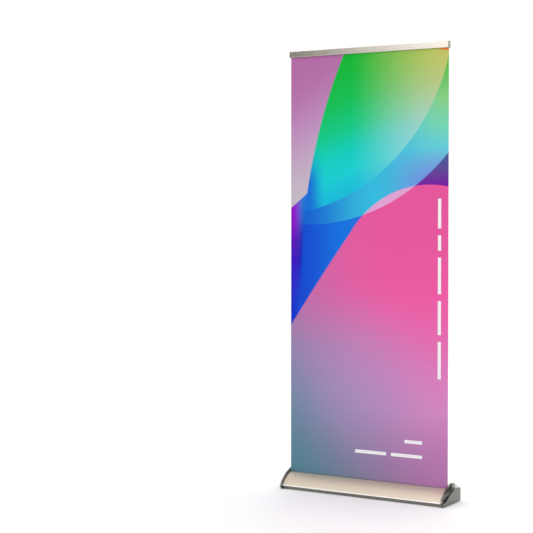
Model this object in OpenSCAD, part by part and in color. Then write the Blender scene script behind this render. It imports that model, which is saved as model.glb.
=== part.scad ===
// Roll-up banner stand: a spring roller in a floor base, a telescopic pole and a clamp rail.
// +X is the viewer's right, -Y is the printed side and +Z is up. The origin is on the floor,
// under the middle of the base.

/* [Banner] */
// Width of the printed sheet
banner_w = 850; // [600:10:1000]
// Height of the print between the slot and the rail
banner_h = 2060; // [1800:10:2200]
// Thickness of the sheet
banner_t = 0.6; // [0.4:0.1:0.8]
// Distance of the sheet's plane in front of the base's middle
banner_set = 12.5; // [12:0.5:13]

/* [Base] */
// Width that the end caps add to the sheet's, on each side
end_w = 17.5; // [17:0.5:24]
// Height of the slot that the sheet leaves
slot_z = 76; // [76:1:78]
// Radius of the front cover's curve
front_r = 160; // [155:1:165]
// Wall of the front and rear covers
cover_t = 2; // [1.6:0.1:2.2]
// How far the end caps stand proud of the front cover
cap_proud = 11.5; // [9:0.5:12]
// Height of the rubber feet under the tray
foot_h = 2.5; // [2:0.5:3]

/* [Roller] */
// Outer radius of the roller tube
roller_r = 16; // [15:0.5:16]
// Wall of the roller tube
roller_wall = 1.5; // [1:0.1:2]
// Height of the roller's axis
roller_z = 36; // [32:1:38]
// Thickness of the leader wound on the tube
leader_t = 0.9; // [0.6:0.1:0.9]
// Turns of the torsion spring
spring_turns = 16; // [10:1:20]

/* [Pole] */
// Distance of the pole's axis behind the base's middle
pole_y = 12; // [11:0.5:13]
// Outer radius of the lower tube
lower_r = 12.5; // [12:0.5:12.5]
// Step in radius from one tube to the next
tube_step = 2; // [2:0.1:2.2]
// Wall of the tubes
tube_wall = 1.2; // [1:0.1:1.3]
// Length of a tube that stays inside the next one
overlap = 90; // [70:5:120]

/* [Rail] */
// Height of the clamp rail
rail_h = 32; // [30:1:36]
// Thickness of the rail's end caps
rail_cap_t = 5; // [4:0.5:7]

/* [Hidden] */

$fn = 64;

// Places along X. The covers end at the end plates, and the end caps close over both.
half_banner = banner_w / 2;
half_base = half_banner + end_w;
plate_t = 4;
half_shell = half_banner + 2;
half_plate = half_shell + plate_t;
cap_lip_x = half_banner + 1;

// The sheet's plane, and the roller that it leaves on its rear side.
sheet_y = -banner_set;
sheet_gap = 0.3;
leader_r = roller_r + leader_t;
roller_y = sheet_y - banner_t / 2 - sheet_gap - leader_r;
roller_bore = roller_r - roller_wall;

// The front cover's curve: an arc from the slot's edge down to the lip.
lip_y = -91;
lip_z = 22;
edge_y = -16;
chord = [edge_y - lip_y, slot_z - lip_z];
half_chord = norm(chord) / 2;
rise = sqrt(pow(front_r, 2) - pow(half_chord, 2));
arc_y = (lip_y + edge_y) / 2 + rise * chord[1] / norm(chord);
arc_z = (lip_z + slot_z) / 2 - rise * chord[0] / norm(chord);
lip_a = atan2(lip_z - arc_z, lip_y - arc_y);
edge_a = atan2(slot_z - arc_z, edge_y - arc_y);
hem_a = edge_a + 1;
cap_top_a = edge_a + 5;

// The tray and the covers, seen from the end as (Y, Z).
tray_z = foot_h;
tray_t = 2;
tray_floor = tray_z + tray_t;
tray_front = -86;
tray_wall_z = 17;
tray_back_z = 20;
hook_z = 15.6;
hook_gap = 0.4;
plate_gap = 0.2;
rear_y = 101;
rear_face = rear_y - plate_gap;
tray_rear = rear_face - cover_t - 0.2;

// Rubber feet under the tray.
foot_size = [40, 12];
foot_x = half_banner - 45;
foot_y = [-72, 82];

// Tongues of the end caps, which snap through windows in the end plates.
tongue_y = [-60, 60];
tongue_z = 22;
tongue_size = [12, 3];
tongue_fit = 0.2;

// Screw ports for the end plates: two in the tray, one in each cover.
port_r = 4.2;
port_bore = 1.8;
front_port_a = 127;
port_sink = 3.7;
tray_ports = [[-70, tray_floor + port_sink], [85, tray_floor + port_sink]];
rear_port = [rear_face - cover_t - port_sink, 54];
front_port = polar(front_r - cover_t - port_sink, front_port_a);
ports = concat(tray_ports, [rear_port, front_port]);
screw_len = 16;
head_h = 2;
head_flare = 2;

// Pole: three tubes of one length, each standing in the next.
socket_z = tray_floor;
socket_floor = 3;
socket_foot = [60, 26];
socket_r = 15.5;
socket_rim = 3.5;
socket_top = 97;
socket_screw_x = [-23, 23];
plug_flange = 3;
pole_z = socket_z + socket_floor + plug_flange;
rail_z = slot_z + banner_h;
pole_top = rail_z - 6;
tube_len = (pole_top - pole_z + 2 * overlap) / 3;
middle_r = lower_r - tube_step;
upper_r = middle_r - tube_step;
lower_top = pole_z + tube_len;
middle_z = lower_top - overlap;
middle_top = middle_z + tube_len;
upper_z = middle_top - overlap;
collar_skirt = 34;
collar_head = 10;
collar_wall = 3;
collar_bevel = 2;
grip_r = 1.6;
grip_len = 26;
run_fit = 0.08;
press_fit = 0.05;
free_fit = 0.3;
bush_len = 20;
spigot_len = 15;
hook_skirt = 30;
hook_wall = 2.5;
hook_web = 4;
neck_w = 18;
blade_w = 50;

// Rail: the jaw's bead turns in a groove along the body.
half_rail = half_banner;
rail_top = rail_z + rail_h;
hinge_y = sheet_y - 4.1;
hinge_z = rail_top - 4.2;
bead_r = 2.2;
rail_wall = 2.5;
wall_front = sheet_y + 0.6;
wall_rear = wall_front + rail_wall;
jaw_front = hinge_y - 3.8;
jaw_t = 2;
jaw_h = rail_h - 3.5;
channel_w = 4.9;
channel_h = 12;
channel_top = rail_top - 8;
lip_t = 2.5;
nose_h = 3;
grip_t = 1.5;
grip_y = sheet_y - banner_t / 2 - 0.3 - grip_t;
rail_cap_lip = 0.5;

// Roller ends and the spring, as distances along X.
plug_len = 26;
flange_t = 1.2;
tube_end = half_banner + 0.4;
pin_r = 4;
bush_r = 7;
arbor_r = 6;
arbor_start = half_banner - 325;
arbor_key = 9;
spring_r = 9.4;
wire_r = 0.9;
anchor_x = arbor_start + 18;
anchor_len = 30;
spring_x = anchor_x + anchor_len + 2;
spring_len = 230;
collar_x = spring_x + spring_len + 2;

function polar(r, a) = [arc_y + r * cos(a), arc_z + r * sin(a)];

function sweep(r, a0, a1, steps) =
    [for (i = [0:steps]) polar(r, a0 + (a1 - a0) * i / steps)];

// Unit normal on the right-hand side of the step from a to b.
function side(a, b) = [b[1] - a[1], a[0] - b[0]] / norm(b - a);

// A path moved to its right by t, with mitred corners.
function beside(path, t) = [
    for (i = [0:len(path) - 1])
        let (
            before = side(path[max(i - 1, 0)], path[max(i, 1)]),
            after = side(path[min(i, len(path) - 2)], path[min(i + 1, len(path) - 1)])
        )
        path[i] + t * (before + after) / (1 + before * after)
];

function backwards(path) = [for (i = [len(path) - 1:-1:0]) path[i]];

// Outside of the rear cover, from the slot over the top and down the back.
rear_path = [
    [-9, slot_z + 2], [-8.2, 84], [-4, 91], [4, 95.4], [14, 97], [24, 96.8], [36, 94.5],
    [94, 69.6], [99, 66], [rear_face, 61], [rear_face, 4],
];

// Outline of the tray and covers together, grown by a gap on every side.
function outline(grow) = concat(
    sweep(front_r + grow, edge_a, lip_a, 12),
    [
        [-94 - grow, 18],
        [-92 - grow, hook_z - 0.6 - grow],
        [tray_front - grow, hook_z - 0.6 - grow],
        [tray_front - grow, tray_z - grow],
        [rear_y + grow, tray_z - grow],
    ],
    backwards(beside(rear_path, -plate_gap - grow))
);

// End cap: its rim stands proud of the covers, and its flat face is smaller, so that a broad
// facet runs down the front slope.
cap_rim = concat(
    sweep(front_r + cap_proud, cap_top_a, lip_a + 0.5, 12),
    [
        [-102.5, 21], [-102.3, 15], [-100, 8], [-96, 2.8], [-91, 1],
        [95, 1], [100, 2.8], [102.5, 8], [102.5, 62], [101, 67], [96, 71],
        [38, 96.5], [27, 98.8], [13, 98.6],
    ]
);
cap_face = [[-95, 14], [-90, 4], [93, 4], [98, 9], [98, 58], [90, 66], [28, 70]];

// A profile drawn as (Y, Z) and run along X.
module along_x(x0, x1) {
    translate([x0, 0, 0]) rotate([90, 0, 90]) linear_extrude(height = x1 - x0) children();
}

module x_rod(r, x0, x1, y, z) {
    translate([x0, y, z]) rotate([0, 90, 0]) cylinder(r = r, h = x1 - x0);
}

module on_roller(r, x0, x1) {
    x_rod(r, x0, x1, roller_y, roller_z);
}

module z_rod(r, z0, z1) {
    translate([0, pole_y, z0]) cylinder(r = r, h = z1 - z0);
}

module z_tube(outer, inner, z0, z1) {
    difference() {
        z_rod(outer, z0, z1);
        z_rod(inner, z0 - 1, z1 + 1);
    }
}

// The right-hand end is drawn, and the left-hand end is its mirror image.
module left() {
    mirror([1, 0, 0]) children();
}

module base_tray() {
    color("gray") difference() {
        along_x(-half_shell, half_shell) union() {
            polygon([
                [tray_front, tray_z], [tray_rear, tray_z], [tray_rear, tray_back_z],
                [tray_rear - tray_t, tray_back_z], [tray_rear - tray_t, tray_floor],
                [tray_front + tray_t, tray_floor], [tray_front + tray_t, tray_wall_z],
                [tray_front, tray_wall_z],
            ]);
            for (p = tray_ports) translate(p) circle(r = port_r);
        }
        for (p = tray_ports) x_rod(port_bore, -half_base, half_base, p[0], p[1]);
        for (x = socket_screw_x) translate([x, pole_y, tray_z - 1]) cylinder(r = 2.1, h = 5);
        for (x = socket_screw_x)
            translate([x, pole_y, tray_z]) cylinder(r1 = 4, r2 = 2.1, h = 1.9);
    }
}

module front_cover() {
    color("tan") difference() {
        along_x(-half_shell, half_shell) union() {
            polygon(concat(
                sweep(front_r, hem_a, lip_a, 16),
                [
                    [-93.2, 18.8], [-93.2, 16.8], [-92.2, hook_z],
                    [tray_front - hook_gap, hook_z], [tray_front - hook_gap, tray_wall_z],
                    [-83, tray_wall_z], [-83, 19.4],
                ],
                sweep(front_r - cover_t, lip_a - 1.6, hem_a, 16)
            ));
            translate(front_port) circle(r = port_r);
        }
        x_rod(port_bore, -half_base, half_base, front_port[0], front_port[1]);
    }
}

module rear_cover() {
    color("silver") difference() {
        along_x(-half_shell, half_shell) union() {
            polygon(concat(beside(rear_path, cover_t), backwards(rear_path)));
            translate(rear_port) circle(r = port_r);
        }
        x_rod(port_bore, -half_base, half_base, rear_port[0], rear_port[1]);
        z_rod(socket_r + 0.2, 60, 120);
    }
}

module slot_trim_front() {
    outer_edge = polar(front_r, hem_a);
    inner_edge = polar(front_r - cover_t, hem_a);
    near = sheet_y - banner_t / 2 - 0.5;
    color("dimgray") along_x(-half_banner, half_banner) polygon([
        outer_edge, inner_edge, [inner_edge[0], inner_edge[1] - 1.6],
        [near - 0.3, inner_edge[1] - 1.6], [near, inner_edge[1] + 0.4],
        [near, slot_z - 0.4], [near - 1.1, slot_z + 0.8], [near - 3.1, slot_z + 1],
        [outer_edge[0], outer_edge[1] + 0.7],
    ]);
}

module slot_trim_rear() {
    near = sheet_y + banner_t / 2 + 0.5;
    color("dimgray") along_x(-half_banner, half_banner) polygon([
        rear_path[0], [near + 0.3, slot_z + 2], [near, slot_z + 3], [near + 0.2, slot_z + 5.5],
        [near + 1.2, slot_z + 6.8], [-8.4, slot_z + 7],
    ]);
}

// A tongue of the end cap, or with a gap its window in the end plate.
module tongue(y, x0, x1, gap) {
    translate([x0, y - tongue_size[0] / 2 - gap, tongue_z - gap])
        cube([x1 - x0, tongue_size[0] + 2 * gap, tongue_size[1] + 2 * gap]);
}

module end_plate() {
    difference() {
        along_x(half_shell, half_plate) polygon(outline(0));
        for (p = ports) x_rod(port_bore + 0.2, half_shell - 1, half_base, p[0], p[1]);
        for (p = ports) translate([half_plate, p[0], p[1]]) rotate([0, -90, 0])
            cylinder(r1 = port_bore + head_flare + 0.2, r2 = port_bore + 0.2, h = head_h);
        for (y = tongue_y) tongue(y, half_shell - 1, half_plate + 1, tongue_fit);
    }
}

module end_plate_left() {
    color("slategray") difference() {
        left() end_plate();
        on_roller(pin_r + 0.02, -half_base, -half_shell + 1);
    }
}

module end_plate_right() {
    color("slategray") difference() {
        end_plate();
        translate([half_shell - 1, roller_y - arbor_key / 2, roller_z - arbor_key / 2])
            cube([plate_t + 2, arbor_key, arbor_key]);
    }
}

module end_plate_screw(p) {
    shank = port_bore - press_fit;
    x_rod(shank, half_plate - screw_len, half_plate - head_h + 0.1, p[0], p[1]);
    translate([half_plate - press_fit, p[0], p[1]]) rotate([0, -90, 0])
        cylinder(r1 = shank + head_flare + 0.1, r2 = shank, h = head_h);
}

module end_plate_screws() {
    color("lightgray") {
        for (p = ports) end_plate_screw(p);
        for (p = ports) left() end_plate_screw(p);
    }
}

module end_cap() {
    difference() {
        hull() {
            along_x(cap_lip_x, half_plate + 3) polygon(cap_rim);
            along_x(half_base - 0.1, half_base) polygon(cap_face);
        }
        along_x(cap_lip_x - 1, half_plate + 0.05) polygon(outline(0.3));
    }
    for (y = tongue_y) tongue(y, half_shell - 4, half_plate + 2, 0);
}

module end_cap_left() {
    color("lightsteelblue") left() end_cap();
}

module end_cap_right() {
    color("lightsteelblue") end_cap();
}

module foot_pads() {
    color("black") for (x = [-foot_x, foot_x], y = foot_y)
        translate([x - foot_size[0] / 2, y - foot_size[1] / 2, 0])
            cube([foot_size[0], foot_size[1], foot_h]);
}

module pole_socket() {
    color("dimgray") difference() {
        union() {
            z_rod(socket_r, socket_z, socket_top + 1);
            z_rod(socket_r + socket_rim, socket_top + 0.05, socket_top + 2.6);
            translate([-socket_foot[0] / 2, pole_y - socket_foot[1] / 2, socket_z])
                cube([socket_foot[0], socket_foot[1], socket_floor]);
        }
        z_rod(lower_r + 0.1, socket_z + socket_floor, socket_top + 4);
        for (x = socket_screw_x) translate([x, pole_y, socket_z - 1]) cylinder(r = 2.1, h = 6);
    }
}

module socket_screws() {
    color("lightgray") for (x = socket_screw_x) translate([x, pole_y, tray_z + 0.1]) {
        cylinder(r1 = 3.8, r2 = 2, h = 1.8);
        cylinder(r = 2, h = 8);
    }
}

module roller_tube() {
    color("lightgray") difference() {
        on_roller(roller_r, -tube_end, tube_end);
        on_roller(roller_bore, -half_base, half_base);
    }
}

module banner_leader() {
    color("white") difference() {
        on_roller(leader_r, -half_banner, half_banner);
        on_roller(roller_r + 0.02, -half_base, half_base);
    }
}

module roller_plug(bore) {
    difference() {
        union() {
            on_roller(roller_bore - press_fit, tube_end - plug_len, tube_end);
            on_roller(roller_r - 0.2, tube_end, tube_end + flange_t);
        }
        on_roller(bore, tube_end - plug_len - 1, half_base);
    }
}

module roller_plug_left() {
    color("dimgray") left() roller_plug(bush_r + 0.02);
}

module roller_plug_right() {
    color("dimgray") roller_plug(arbor_r + run_fit);
}

module roller_bush() {
    color("goldenrod") difference() {
        on_roller(bush_r, -tube_end - flange_t, -tube_end + 20);
        on_roller(pin_r + run_fit, -half_base, 0);
    }
}

module idle_pin() {
    color("silver") on_roller(pin_r, -half_plate + 0.1, -tube_end + 17);
}

module spring_arbor() {
    color("silver") {
        on_roller(arbor_r, arbor_start, half_shell - 0.1);
        translate([half_shell - 0.1, roller_y - arbor_key / 2 + 0.1, roller_z - arbor_key / 2 + 0.1])
            cube([plate_t, arbor_key - 0.2, arbor_key - 0.2]);
    }
}

module spring_collar() {
    color("gray") difference() {
        on_roller(11, collar_x, collar_x + 12);
        on_roller(arbor_r + 0.02, 0, half_base);
    }
}

module spring_anchor() {
    color("gray") difference() {
        on_roller(roller_bore - press_fit, anchor_x, anchor_x + anchor_len);
        on_roller(arbor_r + free_fit, 0, half_base);
    }
}

// The wire is a round section carried along a helix about the roller's axis.
module torsion_spring() {
    sides = 5;
    turn_steps = 10;
    rings = spring_turns * turn_steps;
    points = [
        for (i = [0:rings], j = [0:sides - 1])
            let (
                turn = 360 * i / turn_steps,
                around = 360 * j / sides,
                r = spring_r + wire_r * cos(around)
            )
            [
                spring_x + wire_r + (spring_len - 2 * wire_r) * i / rings + wire_r * sin(around),
                roller_y + r * cos(turn),
                roller_z + r * sin(turn),
            ]
    ];
    walls = [
        for (i = [0:rings - 1], j = [0:sides - 1], half = [0, 1])
            let (a = i * sides + j, b = i * sides + (j + 1) % sides)
            half == 0 ? [a, b, b + sides] : [a, b + sides, a + sides]
    ];
    ends = [
        [for (j = [sides - 1:-1:0]) j],
        [for (j = [0:sides - 1]) rings * sides + j],
    ];
    color("steelblue") polyhedron(points = points, faces = concat(walls, ends));
}

module banner() {
    color("orchid") translate([-half_banner, sheet_y - banner_t / 2, roller_z])
        cube([banner_w, banner_t, rail_top - 12 - roller_z]);
}

module pole_foot_plug() {
    color("dimgray") {
        z_rod(lower_r - 0.1, pole_z - plug_flange, pole_z);
        z_rod(lower_r - tube_wall - press_fit, pole_z, pole_z + spigot_len);
    }
}

module pole_lower_tube() {
    color("silver") z_tube(lower_r, lower_r - tube_wall, pole_z, lower_top);
}

module pole_middle_tube() {
    color("silver") z_tube(middle_r, middle_r - tube_wall, middle_z, middle_top);
}

module pole_upper_tube() {
    color("silver") z_tube(upper_r, upper_r - tube_wall, upper_z, pole_top);
}

// A collar turns on the outer tube's end and grips the tube inside it.
module lock_collar(outer, inner, top) {
    collar_r = outer + collar_wall;
    color("dimgray") difference() {
        union() {
            z_rod(collar_r, top - collar_skirt, top + collar_head - collar_bevel);
            translate([0, pole_y, top + collar_head - collar_bevel])
                cylinder(r1 = collar_r, r2 = collar_r - collar_bevel, h = collar_bevel);
        }
        z_rod(outer + run_fit, top - collar_skirt - 1, top + 0.3);
        z_rod(inner + free_fit, top, top + collar_head + 1);
        for (a = [0:30:330]) translate([0, pole_y, top - collar_skirt + 6]) rotate(a)
            translate([collar_r + 0.9, 0, 0]) cylinder(r = grip_r, h = grip_len);
    }
}

module lock_collar_lower() {
    lock_collar(lower_r, middle_r, lower_top);
}

module lock_collar_upper() {
    lock_collar(middle_r, upper_r, middle_top);
}

// A guide bush closes an inner tube's foot and runs in the tube around it.
module guide_bush(outer_bore, tube_bore, foot) {
    color("whitesmoke") {
        z_rod(outer_bore - run_fit, foot - bush_len, foot);
        z_rod(tube_bore - press_fit, foot, foot + spigot_len);
    }
}

module guide_bush_middle() {
    guide_bush(lower_r - tube_wall, middle_r - tube_wall, middle_z);
}

module guide_bush_upper() {
    guide_bush(middle_r - tube_wall, upper_r - tube_wall, upper_z);
}

module pole_top_hook() {
    blade_y = wall_rear + 0.5;
    blade_t = channel_w - 1;
    color("dimgray") difference() {
        union() {
            z_rod(upper_r + hook_wall, pole_top - hook_skirt, pole_top + hook_web);
            translate([-neck_w / 2, blade_y, pole_top - hook_web])
                cube([neck_w, pole_y - blade_y, 2 * hook_web]);
            translate([-blade_w / 2, blade_y, pole_top - hook_web])
                cube([blade_w, blade_t, channel_top - 0.5 - pole_top + hook_web]);
        }
        z_rod(upper_r + 0.03, pole_top - hook_skirt - 1, pole_top);
    }
}

module rail_body() {
    claw_z = hinge_z - 1.3;
    hook_y = wall_rear + channel_w;
    color("tan") along_x(-half_rail, half_rail) difference() {
        union() {
            translate([wall_front, rail_z]) square([rail_wall, rail_h]);
            translate([hinge_y - 1.6, channel_top - 1])
                square([wall_rear - hinge_y + 1.6, claw_z - channel_top + 1]);
            translate([hinge_y - 1, claw_z - 1])
                square([wall_rear - hinge_y + 1, rail_top - claw_z + 1]);
            translate([wall_rear - 1, channel_top]) square([channel_w + lip_t + 1, lip_t]);
            translate([hook_y, channel_top - channel_h]) square([lip_t, channel_h + lip_t]);
        }
        translate([hinge_y, hinge_z]) circle(r = bead_r + run_fit);
        // The mouth lets the jaw's neck swing up and forward.
        translate([hinge_y, hinge_z]) polygon([
            [-1.9, 5.2], [-6, 6], [-6, -1.3], [0, -1.3],
        ]);
    }
}

module rail_jaw() {
    color("tan") along_x(-half_rail + 0.2, half_rail - 0.2) {
        translate([jaw_front, rail_z]) square([jaw_t, jaw_h]);
        translate([jaw_front + 1, hinge_z - 0.8]) square([hinge_y - jaw_front - 1, 1.5]);
        translate([hinge_y, hinge_z]) circle(r = bead_r);
        translate([jaw_front + 1, rail_z])
            square([grip_y - jaw_front - 1, nose_h]);
    }
}

module rail_grip_strip() {
    color("black") along_x(-half_rail + 1, half_rail - 1)
        translate([grip_y, rail_z + 0.3]) square([grip_t, nose_h - 0.6]);
}

module rail_cap() {
    cap_front = jaw_front - rail_cap_lip;
    cap_rear = wall_rear + channel_w + lip_t + 0.4;
    cap_foot = rail_z - rail_cap_lip;
    along_x(half_rail, half_rail + rail_cap_t) polygon([
        [cap_front, cap_foot], [cap_rear - 1, cap_foot], [cap_rear, cap_foot + 1],
        [cap_rear, rail_top - 3], [cap_rear - 2.5, rail_top], [jaw_front + 2, rail_top + 0.3],
        [cap_front, rail_top - 2],
    ]);
    // A tongue plugs the rail's rear channel.
    translate([half_rail - 12, wall_rear + 0.3, channel_top - 9]) cube([13, channel_w - 0.6, 8.5]);
}

module rail_cap_left() {
    color("gray") left() rail_cap();
}

module rail_cap_right() {
    color("gray") rail_cap();
}

base_tray();
front_cover();
rear_cover();
slot_trim_front();
slot_trim_rear();
end_plate_left();
end_plate_right();
end_plate_screws();
end_cap_left();
end_cap_right();
foot_pads();
pole_socket();
socket_screws();
roller_tube();
banner_leader();
roller_plug_left();
roller_plug_right();
roller_bush();
idle_pin();
spring_arbor();
spring_collar();
spring_anchor();
torsion_spring();
banner();
pole_foot_plug();
pole_lower_tube();
lock_collar_lower();
pole_middle_tube();
guide_bush_middle();
lock_collar_upper();
pole_upper_tube();
guide_bush_upper();
pole_top_hook();
rail_body();
rail_jaw();
rail_grip_strip();
rail_cap_left();
rail_cap_right();
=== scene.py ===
"""A roll-up banner stand: the visible pieces, finishes, light and camera.

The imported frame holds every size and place. Each class below takes a group of its nodes, builds
the pieces that are seen and dresses the rest. Lengths are in millimetres, as on the stand's own
drawings, and are turned to metres where a mesh, a light or the camera is made.
"""

from __future__ import annotations

import logging
import math
from dataclasses import dataclass, field
from enum import Enum
from typing import Any, Callable, Sequence

import bmesh
import bpy
from mathutils import Matrix, Vector

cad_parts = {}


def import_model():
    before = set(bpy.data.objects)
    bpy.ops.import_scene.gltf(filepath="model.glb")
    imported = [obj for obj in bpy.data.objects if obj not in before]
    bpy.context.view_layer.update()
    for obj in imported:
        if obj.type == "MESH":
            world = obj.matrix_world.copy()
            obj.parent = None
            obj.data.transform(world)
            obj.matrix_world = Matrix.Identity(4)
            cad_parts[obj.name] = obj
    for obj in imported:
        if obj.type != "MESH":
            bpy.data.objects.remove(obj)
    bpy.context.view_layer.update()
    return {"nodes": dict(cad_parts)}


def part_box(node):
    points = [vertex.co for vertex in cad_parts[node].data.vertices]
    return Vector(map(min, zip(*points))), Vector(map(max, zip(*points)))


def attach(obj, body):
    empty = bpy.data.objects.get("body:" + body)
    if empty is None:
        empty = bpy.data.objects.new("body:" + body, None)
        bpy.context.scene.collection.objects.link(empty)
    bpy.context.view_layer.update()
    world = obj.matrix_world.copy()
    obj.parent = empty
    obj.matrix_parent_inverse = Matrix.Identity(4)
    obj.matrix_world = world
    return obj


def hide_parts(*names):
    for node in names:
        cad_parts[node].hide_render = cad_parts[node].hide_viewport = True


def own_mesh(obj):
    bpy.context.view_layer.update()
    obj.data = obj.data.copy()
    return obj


LOG = logging.getLogger("banner_stand")
MM = 0.001

Point2 = tuple[float, float]
Point3 = tuple[float, float, float]
Loop = list[Point3]
# A colour ramp's stops, each as (place from 0 to 1, sRGB hex colour).
Stops = Sequence[tuple[float, str]]


class Body(str, Enum):
    """The bodies of the frame that pieces ride on."""

    BASE = "base"
    LOWER_COLLAR = "lower_collar"
    MIDDLE_POLE = "middle_pole"
    UPPER_COLLAR = "upper_collar"
    UPPER_POLE = "upper_pole"
    JAW = "jaw"


class Side(Enum):
    """The two ends of the stand, as the sign of X."""

    LEFT = -1
    RIGHT = 1


# ---------------------------------------------------------------------------------------------
# Outlines
# ---------------------------------------------------------------------------------------------


def arc(centre: Point2, radius: float, start: float, end: float, steps: int) -> list[Point2]:
    """Points along an arc.

    Args:
        centre: The arc's centre.
        radius: The arc's radius.
        start: The first point's angle in degrees.
        end: The last point's angle in degrees.
        steps: How many chords stand for the arc.

    Returns:
        The points, first and last included.
    """
    angles = [math.radians(start + (end - start) * i / steps) for i in range(steps + 1)]
    return [(centre[0] + radius * math.cos(a), centre[1] + radius * math.sin(a)) for a in angles]


def rounded(corners: Sequence[tuple[float, float, float]], steps: int = 6) -> list[Point2]:
    """A closed outline with its corners rounded.

    Args:
        corners: Each corner as (first, second, radius). A radius of 0 leaves it sharp.
        steps: How many chords stand for each rounded corner.

    Returns:
        The outline's points in the order of the corners.
    """
    outline: list[Point2] = []
    for i, (y, z, radius) in enumerate(corners):
        here = Vector((y, z))
        back = Vector(corners[i - 1][:2]) - here
        ahead = Vector(corners[(i + 1) % len(corners)][:2]) - here
        if radius <= 0:
            outline.append((y, z))
            continue
        half = back.angle(ahead) / 2
        reach = min(radius / math.tan(half), back.length * 0.49, ahead.length * 0.49)
        first = here + back.normalized() * reach
        last = here + ahead.normalized() * reach
        for k in range(steps + 1):
            t = k / steps
            point = first * (1 - t) ** 2 + here * 2 * t * (1 - t) + last * t * t
            outline.append((point.x, point.y))
    return outline


def radial(outline: Sequence[Point2], centre: Point2, rays: int) -> list[Point2]:
    """The outline met by rays from a centre inside it, so that two outlines can be lofted.

    Args:
        outline: A closed outline.
        centre: A point inside it.
        rays: How many rays are cast, evenly by angle.

    Returns:
        One point for each ray.
    """
    met: list[Point2] = []
    for i in range(rays):
        angle = 2 * math.pi * i / rays
        dy, dz = math.cos(angle), math.sin(angle)
        best = 0.0
        for k, (y0, z0) in enumerate(outline):
            y1, z1 = outline[(k + 1) % len(outline)]
            ey, ez = y1 - y0, z1 - z0
            cross = dy * ez - dz * ey
            if abs(cross) < 1e-12:
                continue
            along = ((y0 - centre[0]) * ez - (z0 - centre[1]) * ey) / cross
            share = ((y0 - centre[0]) * dz - (z0 - centre[1]) * dy) / cross
            if -1e-9 <= share <= 1 + 1e-9 and along > best:
                best = along
        met.append((centre[0] + dy * best, centre[1] + dz * best))
    return met


def inset(loop: Sequence[Point2], depth: float) -> list[Point2]:
    """Moves every point of a loop inwards, square to the line between its neighbours.

    Args:
        loop: A closed outline, anticlockwise.
        depth: How far it moves.

    Returns:
        The moved points.
    """
    moved: list[Point2] = []
    for i, (y, z) in enumerate(loop):
        before = Vector(loop[i - 1])
        after = Vector(loop[(i + 1) % len(loop)])
        along = (after - before).normalized()
        moved.append((y - along.y * depth, z + along.x * depth))
    return moved


# ---------------------------------------------------------------------------------------------
# Meshes
# ---------------------------------------------------------------------------------------------


def mesh_object(name: str, build: Callable[[bmesh.types.BMesh], None], sharp: float = 35) -> Any:
    """Makes an object whose mesh is filled by a function.

    Args:
        name: The piece's name.
        build: Fills an empty bmesh, in metres in the frame of the stand.
        sharp: Edges that fold by more than this many degrees are drawn sharp.

    Returns:
        The new object, linked to the scene.
    """
    grid = bmesh.new()
    build(grid)
    bmesh.ops.recalc_face_normals(grid, faces=grid.faces)
    mesh = bpy.data.meshes.new(name)
    grid.to_mesh(mesh)
    grid.free()
    mesh.polygons.foreach_set("use_smooth", [True] * len(mesh.polygons))
    mesh.set_sharp_from_angle(angle=math.radians(sharp))
    piece = bpy.data.objects.new(name, mesh)
    bpy.context.scene.collection.objects.link(piece)
    return piece


def add_loft(grid: bmesh.types.BMesh, loops: Sequence[Loop], ends: bool = True) -> None:
    """Skins closed loops of equal length, one after another.

    Args:
        grid: The mesh that is added to.
        loops: The loops, each a list of points in millimetres.
        ends: Closes the first and last loop with a face. Without it the loops join into a ring.
    """
    rings = [[grid.verts.new(Vector(p) * MM) for p in loop] for loop in loops]
    pairs = list(zip(rings, rings[1:]))
    if not ends:
        pairs.append((rings[-1], rings[0]))
    count = len(rings[0])
    for one, two in pairs:
        for i in range(count):
            k = (i + 1) % count
            grid.faces.new((one[i], one[k], two[k], two[i]))
    if ends:
        grid.faces.new(rings[0])
        grid.faces.new(rings[-1])


def add_run(grid: bmesh.types.BMesh, outline: Sequence[Point2], x0: float, x1: float) -> None:
    """Adds an extrusion of a (Y, Z) outline along X, all in millimetres."""
    add_loft(grid, [[(x, y, z) for y, z in outline] for x in (x0, x1)])


def add_lathe(
    grid: bmesh.types.BMesh,
    profile: Sequence[Point2],
    axis: Point2,
    segments: int = 64,
    ripple: Callable[[float, float], float] | None = None,
) -> None:
    """Turns a closed (radius, Z) profile about an upright axis.

    Args:
        grid: The mesh that is added to.
        profile: The closed profile in millimetres.
        axis: The axis as (X, Y) in millimetres.
        segments: How many steps go round.
        ripple: Gives a change in radius for a turn in radians and a radius.
    """
    loops: list[Loop] = []
    for i in range(segments):
        turn = 2 * math.pi * i / segments
        loop: Loop = []
        for radius, z in profile:
            reach = radius + (ripple(turn, radius) if ripple else 0.0)
            loop.append((axis[0] + reach * math.cos(turn), axis[1] + reach * math.sin(turn), z))
        loops.append(loop)
    add_loft(grid, loops, ends=False)


def add_block(grid: bmesh.types.BMesh, low: Point3, high: Point3, edge: float) -> None:
    """Adds a block with rounded edges between two corners, in millimetres.

    Args:
        grid: The mesh that is added to.
        low: The lowest corner.
        high: The highest corner.
        edge: The radius of the edges.
    """
    made = bmesh.ops.create_cube(grid, size=1)["verts"]
    size = Vector(high) - Vector(low)
    place = Matrix.Translation((Vector(low) + size / 2) * MM) @ Matrix.Diagonal((*(size * MM), 1))
    bmesh.ops.transform(grid, matrix=place, verts=made)
    edges = list({e for v in made for e in v.link_edges})
    bmesh.ops.bevel(
        grid, geom=edges, offset=edge * MM, segments=3, profile=0.5, affect="EDGES",
        clamp_overlap=True,
    )


# ---------------------------------------------------------------------------------------------
# Finishes
# ---------------------------------------------------------------------------------------------


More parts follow.
